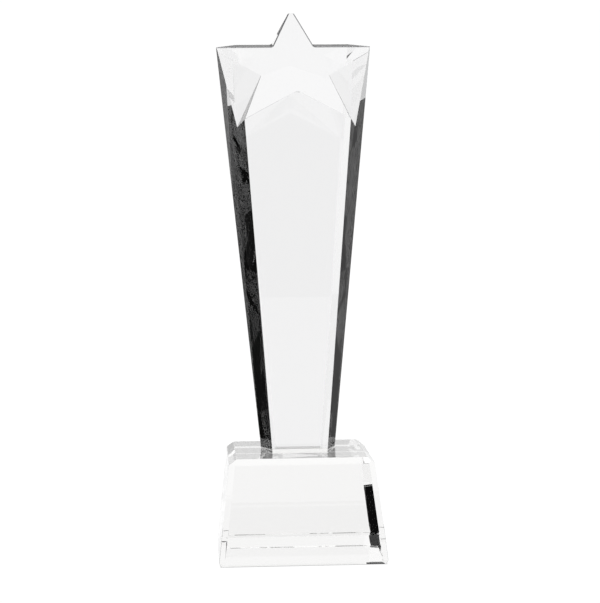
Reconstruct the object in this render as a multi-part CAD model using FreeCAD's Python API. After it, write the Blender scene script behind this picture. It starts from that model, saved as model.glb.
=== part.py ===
"""Star trophy: a tapering crystal column, cut to a leaning five-pointed star at its top, bonded to a crystal base.

Millimetres. +Z is up, the front faces -Y, and the origin is the centre of the base's underside.
"""

import math
import os

import FreeCAD
import Part

# Base block
BASE_WIDTH = 70.0
BASE_DEPTH = 63.0
BASE_HEIGHT = 43.3
BAND_HEIGHT = 12.4  # vertical band along the foot of the front
TOP_BEVEL_DROP = 2.3
SHOULDER_HALF_WIDTH = 30.3  # half width at the lower edge of the top bevels
SHOULDER_FRONT_Y = -24.0  # front slope at the lower edge of the top bevel
TOP_BEVEL_SIDE = 3.1
TOP_BEVEL_FRONT = 2.45
FRONT_CORNER_BEVEL = 2.4
RIGHT_REAR_BEVEL = 4.2
LEFT_REAR_BEVEL = 0.8
FOOT_BEVEL = 1.1
REAR_FOOT_BEVEL = 0.25

# Bond between the base and the column
FILM_THICKNESS = 0.15
FILM_OVERHANG = 0.35  # squeezed-out edge, outside the column's foot

# Column: half widths, then depths, at its foot
FRONT_HALF_WIDTH = 11.6
WAIST_HALF_WIDTH = 15.9
REAR_HALF_WIDTH = 9.8
FRONT_Y = -7.2
WAIST_Y = 9.0
REAR_Y = 19.4

# Star: corners of its outline, each a half width and a height
FACE_LEAN = 1.0  # the star's face goes back this far for each 1 mm up
LOWER_TIP = (21.9, 183.7)
LOWER_TIP_Y = -15.8
LOWER_INNER = (14.43, 202.3)
ARM_TOP_Z = 215.0
ARM_END_HEIGHT = 2.2  # height of the blunt end of an arm
UPPER_INNER_HALF_WIDTH = 8.95
TOP_TIP = (1.1, 230.7)
GABLE_PEAK_Z = 195.4
GABLE_RADIUS = 2.6
INNER_RADIUS = 1.2
OUTLINE_BEVEL = 0.4  # ground flat round the star's upper outline
UPPER_NOTCH_RISE = 0.128  # the upper notches rise this far for each 1 mm towards the rear
SIDE_NOTCH_END = (-3.8, 180.6)  # depth and height at which a side notch runs out

FAR = 500.0

V = FreeCAD.Vector


def half_space(points, inside):
    """A large block whose near face holds the three points, on the other side of it from the point inside."""
    a, b, c = points
    normal = (b - a).cross(c - a)
    normal.normalize()
    if normal.dot(inside - a) > 0:
        normal = normal * -1
    across = (b - a).normalize()
    along = normal.cross(across)
    corners = [a + across * (i * FAR) + along * (j * FAR) for i, j in ((-1, -1), (1, -1), (1, 1), (-1, 1))]
    return Part.Face(Part.makePolygon(corners + corners[:1])).extrude(normal * FAR)


def mirrored(points):
    """The same points on the other side of the plane of symmetry."""
    return [V(-p.x, p.y, p.z) for p in points]


def trim(solid, planes, inside, both_sides=False):
    """Cuts the solid back to each plane, and to its mirror image too if both_sides is set."""
    for points in planes:
        solid = solid.cut(half_space(points, inside))
        if both_sides:
            solid = solid.cut(half_space(mirrored(points), inside))
    return solid


def blend(start, end, z):
    """The point at height z on the straight line through start and end."""
    return start + (end - start) * ((z - start.z) / (end.z - start.z))


def make_base():
    half = BASE_WIDTH / 2
    front = -BASE_DEPTH / 2
    rear = BASE_DEPTH / 2
    shoulder_z = BASE_HEIGHT - TOP_BEVEL_DROP
    middle = V(0, 0, BASE_HEIGHT / 2)
    x = V(1, 0, 0)
    y = V(0, 1, 0)
    block = Part.makeBox(BASE_WIDTH, BASE_DEPTH, BASE_HEIGHT, V(-half, front, 0))

    band_edge = V(0, front, BAND_HEIGHT)
    front_shoulder = V(0, SHOULDER_FRONT_Y, shoulder_z)
    front_top = V(0, SHOULDER_FRONT_Y + TOP_BEVEL_FRONT, BASE_HEIGHT)
    rear_shoulder = V(0, rear, BASE_HEIGHT - FOOT_BEVEL)
    rear_top = V(0, rear - FOOT_BEVEL, BASE_HEIGHT)
    front_foot = V(0, front, FOOT_BEVEL)
    rear_foot = V(0, rear, REAR_FOOT_BEVEL)
    block = trim(
        block,
        [
            (band_edge, front_shoulder, band_edge + x),
            (front_shoulder, front_top, front_top + x),
            (rear_shoulder, rear_top, rear_top + x),
            (front_foot, front_foot + V(0, FOOT_BEVEL, -FOOT_BEVEL), front_foot + x),
            (rear_foot, rear_foot + V(0, -REAR_FOOT_BEVEL, -REAR_FOOT_BEVEL), rear_foot + x),
        ],
        middle,
    )

    side_bevel = V(half, 0, FOOT_BEVEL)
    side_shoulder = V(SHOULDER_HALF_WIDTH, 0, shoulder_z)
    side_foot = blend(side_bevel, side_shoulder, 0)
    side_top = V(SHOULDER_HALF_WIDTH - TOP_BEVEL_SIDE, 0, BASE_HEIGHT)
    at_band = blend(side_foot, side_shoulder, BAND_HEIGHT)
    foot_corner = V(side_foot.x, front, 0)
    band_corner = V(at_band.x, front, BAND_HEIGHT)
    shoulder_corner = V(SHOULDER_HALF_WIDTH, SHOULDER_FRONT_Y, shoulder_z)
    rear_corner = V(side_foot.x, rear, 0)
    rear_shoulder_corner = V(SHOULDER_HALF_WIDTH, rear, shoulder_z)
    in_x = x * -FRONT_CORNER_BEVEL
    in_y = y * FRONT_CORNER_BEVEL
    block = trim(
        block,
        [
            (side_foot, side_shoulder, side_foot + y),
            (side_shoulder, side_top, side_shoulder + y),
            (side_bevel, side_bevel + V(-FOOT_BEVEL, 0, -FOOT_BEVEL), side_bevel + y),
            (band_corner + in_x, band_corner + in_y, foot_corner + in_x),
            (band_corner + in_x, band_corner + in_y, shoulder_corner + in_x),
        ],
        middle,
        both_sides=True,
    )
    for size, on_left in ((RIGHT_REAR_BEVEL, False), (LEFT_REAR_BEVEL, True)):
        corner = [rear_corner - x * size, rear_corner - y * size, rear_shoulder_corner - x * size]
        block = trim(block, [mirrored(corner) if on_left else corner], middle)
    return block.Solids[0]


def foot_outline(overhang):
    """The six corners of the column's foot, as (x, y), grown outwards by the overhang."""
    right = [
        (FRONT_HALF_WIDTH + overhang * 0.8, FRONT_Y - overhang),
        (WAIST_HALF_WIDTH + overhang * 1.1, WAIST_Y),
        (REAR_HALF_WIDTH + overhang * 0.8, REAR_Y + overhang),
    ]
    return right + [(-px, py) for px, py in reversed(right)]


def make_film():
    points = [V(px, py, BASE_HEIGHT) for px, py in foot_outline(FILM_OVERHANG)]
    return Part.Face(Part.makePolygon(points + points[:1])).extrude(V(0, 0, FILM_THICKNESS))


def face_y(z):
    """Depth of the star's face at height z."""
    return LOWER_TIP_Y + FACE_LEAN * (z - LOWER_TIP[1])


def prism(profile, rise=0.0):
    """A bar through the whole depth, with the given closed wire in an XZ plane as its section."""
    return Part.Face(profile).extrude(V(0, 2 * FAR, 2 * FAR * rise))


def rounded_corner_wire(points, corner, radius):
    """A closed wire through the points, with the corner of that index rounded."""
    here = points[corner]
    to_last = (points[corner - 1] - here).normalize()
    to_next = (points[(corner + 1) % len(points)] - here).normalize()
    half_angle = to_last.getAngle(to_next) / 2
    reach = radius / math.tan(half_angle)
    start = here + to_last * reach
    end = here + to_next * reach
    inward = (to_last + to_next).normalize()
    middle = here + inward * (radius / math.sin(half_angle) - radius)
    order = [points[(corner + 1 + i) % len(points)] for i in range(len(points) - 1)]
    edges = [Part.Arc(start, middle, end).toShape()]
    path = [end] + order + [start]
    edges += [Part.makeLine(p, q) for p, q in zip(path, path[1:])]
    return Part.Wire(edges)


def upper_outline(solid):
    """The edges of the star's face from the arms' tops upwards."""
    found = []
    for edge in solid.Edges:
        ends = [v.Point for v in edge.Vertexes]
        if all(abs(p.y - face_y(p.z)) < 1e-4 and p.z > ARM_TOP_Z - 0.01 for p in ends):
            found.append(edge)
    return found


def make_column():
    foot_z = BASE_HEIGHT + FILM_THICKNESS
    inside = V(0, (FRONT_Y + REAR_Y) / 2, foot_z + 20)
    tip = V(LOWER_TIP[0], LOWER_TIP_Y, LOWER_TIP[1])
    front_foot = V(FRONT_HALF_WIDTH, FRONT_Y, foot_z)
    waist_foot = V(WAIST_HALF_WIDTH, WAIST_Y, foot_z)
    rear_foot = V(REAR_HALF_WIDTH, REAR_Y, foot_z)

    # The bevel beside the front panel is flat, so it sets how wide the waist is where the star's arms end.
    bevel = (tip - front_foot).cross(waist_foot - front_foot)

    def on_bevel(y, z):
        rise = bevel.y * (y - front_foot.y) + bevel.z * (z - front_foot.z)
        return V(front_foot.x - rise / bevel.x, y, z)

    arm_end = on_bevel(face_y(ARM_TOP_Z), ARM_TOP_Z)
    arm_end_low = on_bevel(face_y(ARM_TOP_Z - ARM_END_HEIGHT), ARM_TOP_Z - ARM_END_HEIGHT)
    top_tip = V(0, face_y(TOP_TIP[1]), TOP_TIP[1])

    column = Part.makeBox(90, 80, 200, V(-45, -30, foot_z))
    x = V(1, 0, 0)
    column = trim(
        column,
        [
            (front_foot, front_foot + x, tip),
            (V(0, REAR_Y, foot_z), V(1, REAR_Y, foot_z), top_tip),
        ],
        inside,
    )
    column = trim(
        column,
        [
            (front_foot, tip, waist_foot),
            (waist_foot, arm_end, rear_foot),
        ],
        inside,
        both_sides=True,
    )
    return column, arm_end_low, on_bevel


def cut_star(column, arm_end_low, on_bevel):
    inside = V(0, (FRONT_Y + REAR_Y) / 2, BASE_HEIGHT + 20)
    tip = V(LOWER_TIP[0], LOWER_TIP_Y, LOWER_TIP[1])
    lower_inner = V(LOWER_INNER[0], face_y(LOWER_INNER[1]), LOWER_INNER[1])
    notch_end = on_bevel(*SIDE_NOTCH_END)

    # Leaning face, kept off the gable that stands between the star's two lower points
    face = half_space((tip, V(-tip.x, tip.y, tip.z), lower_inner), inside)
    gable = [
        V(-tip.x, -FAR, tip.z),
        V(0, -FAR, GABLE_PEAK_Z),
        V(tip.x, -FAR, tip.z),
        V(tip.x, -FAR, tip.z - 20),
        V(-tip.x, -FAR, tip.z - 20),
    ]
    column = column.cut(face.cut(prism(rounded_corner_wire(gable, 1, GABLE_RADIUS))))

    # Side notches, between the lower points and the arms
    for flip in (False, True):
        under_arm = [lower_inner, arm_end_low, notch_end]
        beside_leg = [lower_inner, tip, notch_end]
        if flip:
            under_arm = mirrored(under_arm)
            beside_leg = mirrored(beside_leg)
        column = column.cut(half_space(under_arm, inside).common(half_space(beside_leg, inside)))

    # Upper notches, cut from front to back on a line that rises a little
    start_z = ARM_TOP_Z - UPPER_NOTCH_RISE * (FAR + face_y(ARM_TOP_Z))
    spike = (TOP_TIP[1] - ARM_TOP_Z) * (1 - UPPER_NOTCH_RISE)
    slope = (TOP_TIP[0] - UPPER_INNER_HALF_WIDTH) / spike
    height = 40.0
    for side in (-1, 1):
        notch = [
            V(side * UPPER_INNER_HALF_WIDTH, -FAR, start_z),
            V(side * 80, -FAR, start_z),
            V(side * 80, -FAR, start_z + height),
            V(side * (UPPER_INNER_HALF_WIDTH + slope * height), -FAR, start_z + height),
        ]
        column = column.cut(prism(rounded_corner_wire(notch, 0, INNER_RADIUS), UPPER_NOTCH_RISE))

    # Ground flats along the upper outline
    solid = column.Solids[0]
    return solid.makeChamfer(OUTLINE_BEVEL, upper_outline(solid)).Solids[0]


os.makedirs("parts", exist_ok=True)
make_base().exportStep("parts/base_block.step")
make_film().exportStep("parts/adhesive_film.step")
cut_star(*make_column()).exportStep("parts/star_column.step")
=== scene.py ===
import math

import bmesh
import bpy
from mathutils import Matrix, Vector


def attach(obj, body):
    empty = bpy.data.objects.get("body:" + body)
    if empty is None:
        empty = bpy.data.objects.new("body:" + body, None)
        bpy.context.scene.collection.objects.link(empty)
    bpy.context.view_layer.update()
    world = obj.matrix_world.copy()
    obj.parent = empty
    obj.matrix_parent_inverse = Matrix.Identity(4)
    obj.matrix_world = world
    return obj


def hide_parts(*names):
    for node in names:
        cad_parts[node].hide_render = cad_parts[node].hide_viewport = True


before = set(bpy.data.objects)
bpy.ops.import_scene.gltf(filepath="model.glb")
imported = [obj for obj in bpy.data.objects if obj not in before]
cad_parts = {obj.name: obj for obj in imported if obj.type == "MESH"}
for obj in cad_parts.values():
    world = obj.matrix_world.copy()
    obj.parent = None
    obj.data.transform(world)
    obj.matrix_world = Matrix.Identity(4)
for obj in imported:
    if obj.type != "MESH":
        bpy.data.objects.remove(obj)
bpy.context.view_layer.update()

MM = 0.001

# ---------------------------------------------------------------- sizes, mm
FOOT_Z = 43.45                # underside of the column
TOP_Z = 43.3                  # top of the base
FOOT = [(-11.6, -7.2), (11.6, -7.2), (15.9, 9.0), (9.8, 19.4), (-9.8, 19.4), (-15.9, 9.0)]
SEAM_OVERHANG = 0.32          # the adhesive stands out this far round the foot
SEAM_PROFILE = [              # share of that overhang, height above the base's top
    (1.0, 0.0),
    (1.0, 0.04),
    (0.8, 0.10),
    (0.35, FOOT_Z - TOP_Z - 0.01),
    (0.0, FOOT_Z - TOP_Z),
]
EDGE_ROUND = 0.14             # polished edges
REAR_EDGE_Y = 26.0            # edges of the base behind this stay sharp
PAINTED_SHADE_FACET_WIDTH = 0.45     # a facet narrower than about twice this is an edge facet that gets the painted shade
POLISH_DEPTH = 0.2            # full depth of the waviness left by polishing

# ---------------------------------------------------------------- mesh limits
MERGE_DISTANCE = 1e-6         # m
FLAT_ANGLE = math.radians(0.5)
EDGE_ANGLE = math.radians(9)
EDGE_SEGMENTS = 2
UP_NORMAL = 0.999
FRONT_NORMAL = -0.99          # y of a normal that faces the front
LEANING_MIN_Z = 0.6           # z of the normal of the leaning star face
LEANING_ERROR = 0.02
PAINTED_SHADE_LEAN = (0.6, 0.99)     # an edge facet's normal against the star face's normal, for the painted shade
PAINTED_SHADE_MIN_Y = -0.7           # a facet that faces further forward is polished and clear, without the painted shade
ROUNDED_MIN_Y = -0.725        # the same for the rounding next to it
LID_DEPTH = 0.1               # mm
NEAR_FOOT = 0.2               # mm, for edges round the foot
AT_FOOT = 0.02                # mm, for the underside itself

# ---------------------------------------------------------------- material slots of a piece
CLEAR = 0
BONDED = 1
# the next slot holds the star's narrow edge facets: rough, and tinted dark as painted shade
SHADED_EDGE_SLOT = 2

# ---------------------------------------------------------------- crystal
CRYSTAL_IOR = 1.52
CLOUD_SCALE = 18.0
HAZE_SCALE = 420.0
POLISH_SCALE = 60.0
SPECK_SCALE = 90.0
HAZE_RANGE = (0.35, 0.75)
COLUMN_TINT = ((0.876, 0.874, 0.876), (0.868, 0.868, 0.872))
BASE_TINT = ((0.915, 0.912, 0.908), (0.905, 0.902, 0.898))
ADHESIVE_TINT = ((0.97, 0.97, 0.97), (0.95, 0.955, 0.95))
# painted shade: a dark tint that stands in for the dark lines that refraction draws along the star's
# edges
PAINTED_SHADE_EDGE_TINT = ((0.16, 0.16, 0.165), (0.10, 0.10, 0.105))
BOND_TINT = ((1.0, 1.0, 1.0), (0.985, 0.985, 0.98))

# ---------------------------------------------------------------- stage
FLOOR_Z = -0.06               # mm, just clear of the base so that its underside reflects
FLOOR_REACH = 30000.0
FLOOR_LEVEL = 1.05
SHADE_LEVEL = 0.6             # painted shadow under the base
SHADE_HALF_X = 34.9
SHADE_HALF_Y = 31.4
SHADE_EDGE = 1.0
WORLD_LOW = (0.3, 1.02)       # direction's height, brightness
WORLD_HIGH = (0.9, 1.3)
PANEL_FOOT = -0.05
BLACK = 0.004
WHITE = (1.0, 1.0, 1.0, 1.0)


# ---------------------------------------------------------------- node helpers
def new_material(name):
    mat = bpy.data.materials.new(name)
    mat.use_nodes = True
    tree = mat.node_tree
    tree.nodes.clear()
    out = tree.nodes.new("ShaderNodeOutputMaterial")
    return mat, tree, out


def noise(tree, scale, detail, rough, coords):
    tex = tree.nodes.new("ShaderNodeTexNoise")
    tex.inputs["Scale"].default_value = scale
    tex.inputs["Detail"].default_value = detail
    tex.inputs["Roughness"].default_value = rough
    tree.links.new(coords, tex.inputs["Vector"])
    return tex.outputs["Fac"]


def remap(tree, value, lo, hi, out_lo, out_hi):
    node = tree.nodes.new("ShaderNodeMapRange")
    node.inputs["From Min"].default_value = lo
    node.inputs["From Max"].default_value = hi
    node.inputs["To Min"].default_value = out_lo
    node.inputs["To Max"].default_value = out_hi
    tree.links.new(value, node.inputs["Value"])
    return node.outputs["Result"]


def mix_color(tree, fac, a, b):
    node = tree.nodes.new("ShaderNodeMix")
    node.data_type = "RGBA"
    node.inputs["A"].default_value = (*a, 1.0)
    node.inputs["B"].default_value = (*b, 1.0)
    tree.links.new(fac, node.inputs["Factor"])
    return node.outputs["Result"]


def crystal(name, tints, rough, wave):
    """Clear crystal: a faint haze in the polish, and a very slight waviness."""
    mat, tree, out = new_material(name)
    coords = tree.nodes.new("ShaderNodeTexCoord").outputs["Object"]
    shader = tree.nodes.new("ShaderNodeBsdfPrincipled")
    shader.inputs["Transmission Weight"].default_value = 1.0
    shader.inputs["IOR"].default_value = CRYSTAL_IOR
    cloud = noise(tree, CLOUD_SCALE, 2.0, 0.5, coords)
    tree.links.new(mix_color(tree, cloud, *tints), shader.inputs["Base Color"])
    haze = noise(tree, HAZE_SCALE, 4.0, 0.6, coords)
    tree.links.new(remap(tree, haze, *HAZE_RANGE, *rough), shader.inputs["Roughness"])
    polish = noise(tree, POLISH_SCALE, 2.0, 0.4, coords)
    bump = tree.nodes.new("ShaderNodeBump")
    bump.inputs["Strength"].default_value = wave
    bump.inputs["Distance"].default_value = POLISH_DEPTH * MM
    tree.links.new(polish, bump.inputs["Height"])
    tree.links.new(bump.outputs["Normal"], shader.inputs["Normal"])
    tree.links.new(shader.outputs["BSDF"], out.inputs["Surface"])
    return mat


def bonded(name):
    """The glued interface: light passes straight through, with a few faint specks in the adhesive."""
    mat, tree, out = new_material(name)
    coords = tree.nodes.new("ShaderNodeTexCoord").outputs["Object"]
    clear = tree.nodes.new("ShaderNodeBsdfTransparent")
    specks = noise(tree, SPECK_SCALE, 3.0, 0.5, coords)
    tree.links.new(mix_color(tree, specks, *BOND_TINT), clear.inputs["Color"])
    tree.links.new(clear.outputs["BSDF"], out.inputs["Surface"])
    return mat


# ---------------------------------------------------------------- mesh helpers
def node_bmesh(name):
    """A copy of a CAD node's mesh, with one face for each flat side."""
    bm = bmesh.new()
    bm.from_mesh(bpy.data.objects[name].data)
    bmesh.ops.remove_doubles(bm, verts=bm.verts, dist=MERGE_DISTANCE)
    bmesh.ops.dissolve_limit(bm, angle_limit=FLAT_ANGLE, verts=bm.verts, edges=bm.edges)
    return bm


def finish_mesh(bm, name, materials):
    bmesh.ops.recalc_face_normals(bm, faces=bm.faces)
    for f in bm.faces:
        f.smooth = False
    mesh = bpy.data.meshes.new(name)
    bm.to_mesh(mesh)
    bm.free()
    for mat in materials:
        mesh.materials.append(mat)
    obj = bpy.data.objects.new(name, mesh)
    bpy.context.collection.objects.link(obj)
    return obj


def round_edges(bm, keep_sharp, size, material=-1):
    edges = []
    for e in bm.edges:
        if len(e.link_faces) != 2 or keep_sharp(e):
            continue
        if e.calc_face_angle() > EDGE_ANGLE:
            edges.append(e)
    bmesh.ops.bevel(
        bm,
        geom=edges,
        offset=size * MM,
        offset_type="OFFSET",
        segments=EDGE_SEGMENTS,
        profile=0.5,
        affect="EDGES",
        clamp_overlap=True,
        harden_normals=False,
        material=material,
    )


def grow(outline, by):
    """The outline moved outwards by a distance, with mitred corners."""
    out = []
    count = len(outline)
    for i, p in enumerate(outline):
        a = Vector(outline[i - 1])
        b = Vector(p)
        c = Vector(outline[(i + 1) % count])
        n1 = Vector(((b - a).y, -(b - a).x)).normalized()
        n2 = Vector(((c - b).y, -(c - b).x)).normalized()
        mitre = (n1 + n2).normalized()
        q = b + mitre * (by / mitre.dot(n1))
        out.append((q.x, q.y))
    return out


# ---------------------------------------------------------------- column
def make_column(glass, bond, painted_shade_edge_glass):
    bm = node_bmesh("star_column")
    foot = FOOT_Z * MM

    def at_foot(e):
        return all(v.co.z < foot + NEAR_FOOT * MM for v in e.verts)

    def leans(f):
        return abs(f.normal.z + f.normal.y) < LEANING_ERROR and f.normal.z > LEANING_MIN_Z

    def off_star(e):
        """Every edge that isn't on the outline of the leaning star face."""
        star = any(leans(f) for f in e.link_faces)
        front = any(f.normal.y < FRONT_NORMAL for f in e.link_faces)
        return front or not star

    bm.normal_update()
    star_normal = Vector((0.0, -1.0, 1.0)).normalized()
    # Narrow tilted facets round the star face, and the rounding cut along its outline, take the dark
    # tint: painted shade for the dark lines of refraction.
    for f in bm.faces:
        tilted = PAINTED_SHADE_LEAN[0] < f.normal.dot(star_normal) < PAINTED_SHADE_LEAN[1]
        narrow = f.calc_area() < PAINTED_SHADE_FACET_WIDTH * MM * f.calc_perimeter()
        painted_shade_edge = tilted and narrow and f.normal.y > PAINTED_SHADE_MIN_Y
        f.material_index = SHADED_EDGE_SLOT if painted_shade_edge else CLEAR
    round_edges(bm, off_star, EDGE_ROUND, SHADED_EDGE_SLOT)
    bm.normal_update()
    painted_shade_faces = [f for f in bm.faces if f.material_index == SHADED_EDGE_SLOT]
    edges_of_painted_shade = {e for f in painted_shade_faces for e in f.edges}
    for f in painted_shade_faces:
        if f.normal.y < ROUNDED_MIN_Y:
            f.material_index = CLEAR
    round_edges(bm, lambda e: at_foot(e) or e in edges_of_painted_shade, EDGE_ROUND)
    for f in bm.faces:
        if all(v.co.z < foot + AT_FOOT * MM for v in f.verts):
            f.material_index = BONDED
    obj = finish_mesh(bm, "crystal_column", [glass, bond, painted_shade_edge_glass])
    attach(obj, "root")
    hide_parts("star_column")
    return obj


# ---------------------------------------------------------------- base
def make_base(glass, bond):
    bm = node_bmesh("base_block")
    rear = REAR_EDGE_Y * MM
    round_edges(bm, lambda e: all(v.co.y > rear for v in e.verts), EDGE_ROUND)
    top = TOP_Z * MM
    lids = [
        f for f in bm.faces
        if f.normal.z > UP_NORMAL and f.calc_center_median().z > top - LID_DEPTH * MM
    ]
    lid = max(lids, key=lambda f: f.calc_area())
    rim = list(lid.edges)
    bmesh.ops.delete(bm, geom=[lid], context="FACES_ONLY")
    ring = [bm.verts.new((x * MM, y * MM, top)) for x, y in grow(FOOT, SEAM_OVERHANG)]
    ring_edges = [bm.edges.new((ring[i], ring[(i + 1) % len(ring)])) for i in range(len(ring))]
    bmesh.ops.triangle_fill(bm, edges=rim + ring_edges, use_beauty=True, use_dissolve=False)
    for f in list(bm.faces):
        inside = len(f.verts) == 3 and all(v in ring for v in f.verts)
        if inside:
            bm.faces.remove(f)
    glued = bm.faces.new(ring)
    bm.normal_update()
    for f in bm.faces:
        f.material_index = CLEAR
    glued.material_index = BONDED
    obj = finish_mesh(bm, "crystal_base", [glass, bond])
    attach(obj, "root")
    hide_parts("base_block")
    return obj


# ---------------------------------------------------------------- adhesive seam
def make_seam(glass, bond):
    """The cured film, with the small fillet that was squeezed out round the foot."""
    bm = bmesh.new()
    rings = []
    for share, height in SEAM_PROFILE:
        line = grow(FOOT, SEAM_OVERHANG * share) if share else FOOT
        z = (TOP_Z + height) * MM
        rings.append([bm.verts.new((x * MM, y * MM, z)) for x, y in line])
    for low, high in zip(rings, rings[1:]):
        for i in range(len(low)):
            j = (i + 1) % len(low)
            bm.faces.new((low[i], low[j], high[j], high[i])).material_index = CLEAR
    bm.faces.new(list(reversed(rings[0]))).material_index = BONDED
    bm.faces.new(rings[-1]).material_index = BONDED
    obj = finish_mesh(bm, "adhesive_seam", [glass, bond])
    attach(obj, "root")
    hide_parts("adhesive_film")
    return obj


bond = bonded("bonded_interface")
column_glass = crystal("column_crystal_clear", COLUMN_TINT, rough=(0.0, 0.002), wave=0.004)
base_glass = crystal("base_crystal_clear", BASE_TINT, rough=(0.0, 0.004), wave=0.02)
seam_glass = crystal("cured_adhesive", ADHESIVE_TINT, rough=(0.03, 0.12), wave=0.2)
# The star's edge facets: rough, with a dark tint that is painted shade.
painted_shade_edge = crystal("painted_shade_edge", PAINTED_SHADE_EDGE_TINT, rough=(0.18, 0.3), wave=0.1)
make_column(column_glass, bond, painted_shade_edge)
make_base(base_glass, bond)
make_seam(seam_glass, bond)


# ---------------------------------------------------------------- stage
def emission_material(name, strength):
    mat, tree, out = new_material(name)
    light = tree.nodes.new("ShaderNodeEmission")
    light.inputs["Color"].default_value = WHITE
    light.inputs["Strength"].default_value = strength
    tree.links.new(light.outputs["Emission"], out.inputs["Surface"])
    return mat, tree, light


def quad(name, corners, mat):
    mesh = bpy.data.meshes.new(name)
    mesh.from_pydata([Vector(c) * MM for c in corners], [], [tuple(range(len(corners)))])
    mesh.materials.append(mat)
    obj = bpy.data.objects.new(name, mesh)
    bpy.context.collection.objects.link(obj)
    return obj


def standing(near, far, low, high, far_high=None):
    """Corners of an upright panel; its far end can be taller or shorter than its near end."""
    end = high if far_high is None else far_high
    return [(*near, low), (*far, low), (*far, end), (*near, high)]


def lying(near, far, height):
    """Corners of a level panel, from its lowest to its highest x and y."""
    (x0, y0), (x1, y1) = near, far
    return [(x0, y0, height), (x1, y0, height), (x1, y1, height), (x0, y1, height)]


# Name, corners in mm, brightness
FLAGS = [
    ("flag_on_floor", lying((120.0, -860.0), (330.0, -600.0), -0.04), 0.02),
    ("flag_overhead", lying((-350.0, -560.0), (350.0, -240.0), 1500.0), 0.1),
    ("flag_left", standing((-215.0, -14.0), (-225.0, 210.0), PANEL_FOOT, 150.0, 266.0), BLACK),
    ("flag_left_rear", standing((-97.0, 98.0), (-177.0, 330.0), PANEL_FOOT, 460.0), BLACK),
    ("flag_right", standing((164.0, 12.0), (174.0, 240.0), PANEL_FOOT, 224.0), BLACK),
    ("flag_right_rear", standing((60.0, 64.0), (152.0, 334.0), PANEL_FOOT, 460.0), 0.12),
    ("flag_high_left", standing((-700.0, -250.0), (-250.0, -900.0), 550.0, 1300.0), 0.1),
    ("flag_high_right", standing((250.0, -900.0), (800.0, -250.0), 550.0, 1300.0), 0.1),
    ("flag_front", standing((-900.0, -1100.0), (900.0, -1100.0), 160.0, 700.0), BLACK),
    ("flag_top", standing((-500.0, 640.0), (500.0, 640.0), 305.0, 900.0), 0.01),
]


def make_floor():
    """A white light table, darker only where the block stands on it: a painted shadow."""
    mat, tree, light = emission_material("pale_floor", FLOOR_LEVEL)
    coords = tree.nodes.new("ShaderNodeTexCoord").outputs["Object"]
    split = tree.nodes.new("ShaderNodeSeparateXYZ")
    tree.links.new(coords, split.inputs["Vector"])

    def ramp(axis, half):
        absolute = tree.nodes.new("ShaderNodeMath")
        absolute.operation = "ABSOLUTE"
        tree.links.new(split.outputs[axis], absolute.inputs[0])
        return remap(tree, absolute.outputs[0], (half - SHADE_EDGE) * MM, half * MM, 0.0, 1.0)

    outside = tree.nodes.new("ShaderNodeMath")
    outside.operation = "MAXIMUM"
    tree.links.new(ramp("X", SHADE_HALF_X), outside.inputs[0])
    tree.links.new(ramp("Y", SHADE_HALF_Y), outside.inputs[1])
    # painted shadow: the floor dims to SHADE_LEVEL inside the block's footprint
    level = remap(tree, outside.outputs[0], 0.0, 1.0, SHADE_LEVEL, FLOOR_LEVEL)
    tree.links.new(level, light.inputs["Strength"])
    quad("floor", lying((-FLOOR_REACH, -FLOOR_REACH), (FLOOR_REACH, FLOOR_REACH), FLOOR_Z), mat)


def make_flag(name, corners, level):
    """A dark studio panel that only the crystal sees."""
    mat, _, _ = emission_material(name + "_cloth", level)
    flag = quad(name, corners, mat)
    flag.visible_camera = False
    return flag


make_floor()
for flag_name, flag_corners, flag_level in FLAGS:
    make_flag(flag_name, flag_corners, flag_level)

world = bpy.data.worlds.new("studio")
bpy.context.scene.world = world
world.use_nodes = True
wt = world.node_tree
background = wt.nodes["Background"]
background.inputs["Color"].default_value = WHITE
direction = wt.nodes.new("ShaderNodeTexCoord").outputs["Generated"]
split_dir = wt.nodes.new("ShaderNodeSeparateXYZ")
wt.links.new(direction, split_dir.inputs["Vector"])
heights, levels = zip(WORLD_LOW, WORLD_HIGH)
rise = remap(wt, split_dir.outputs["Z"], *heights, *levels)
wt.links.new(rise, background.inputs["Strength"])

# ---------------------------------------------------------------- camera
CAMERA_AT = Vector((-44.0111, -813.9669, 164.7199)) * MM
YAW = math.radians(-3.1659)
PITCH = math.radians(4.0561)
ROLL = math.radians(0.556)
LENS = 115.168
SENSOR_WIDTH = 36.0
CLIP = (0.01, 200.0)
BOUNCES = 32

camera_data = bpy.data.cameras.new("camera")
camera_data.sensor_fit = "AUTO"
camera_data.sensor_width = SENSOR_WIDTH
camera_data.lens = LENS
camera_data.clip_start, camera_data.clip_end = CLIP
camera = bpy.data.objects.new("camera", camera_data)
bpy.context.collection.objects.link(camera)
forward = Vector((
    -math.sin(YAW) * math.cos(PITCH),
    math.cos(YAW) * math.cos(PITCH),
    -math.sin(PITCH),
))
right = Vector((math.cos(YAW), math.sin(YAW), 0.0))
up = right.cross(forward)
axis_x = right * math.cos(ROLL) - up * math.sin(ROLL)
axis_y = right * math.sin(ROLL) + up * math.cos(ROLL)
axis_z = -forward
camera.matrix_world = Matrix((
    (axis_x.x, axis_y.x, axis_z.x, CAMERA_AT.x),
    (axis_x.y, axis_y.y, axis_z.y, CAMERA_AT.y),
    (axis_x.z, axis_y.z, axis_z.z, CAMERA_AT.z),
    (0.0, 0.0, 0.0, 1.0),
))
scene = bpy.context.scene
scene.camera = camera
scene.view_settings.view_transform = "Standard"
scene.cycles.max_bounces = BOUNCES
scene.cycles.transmission_bounces = BOUNCES
scene.cycles.glossy_bounces = BOUNCES
scene.cycles.transparent_max_bounces = BOUNCES

bpy.context.view_layer.update()
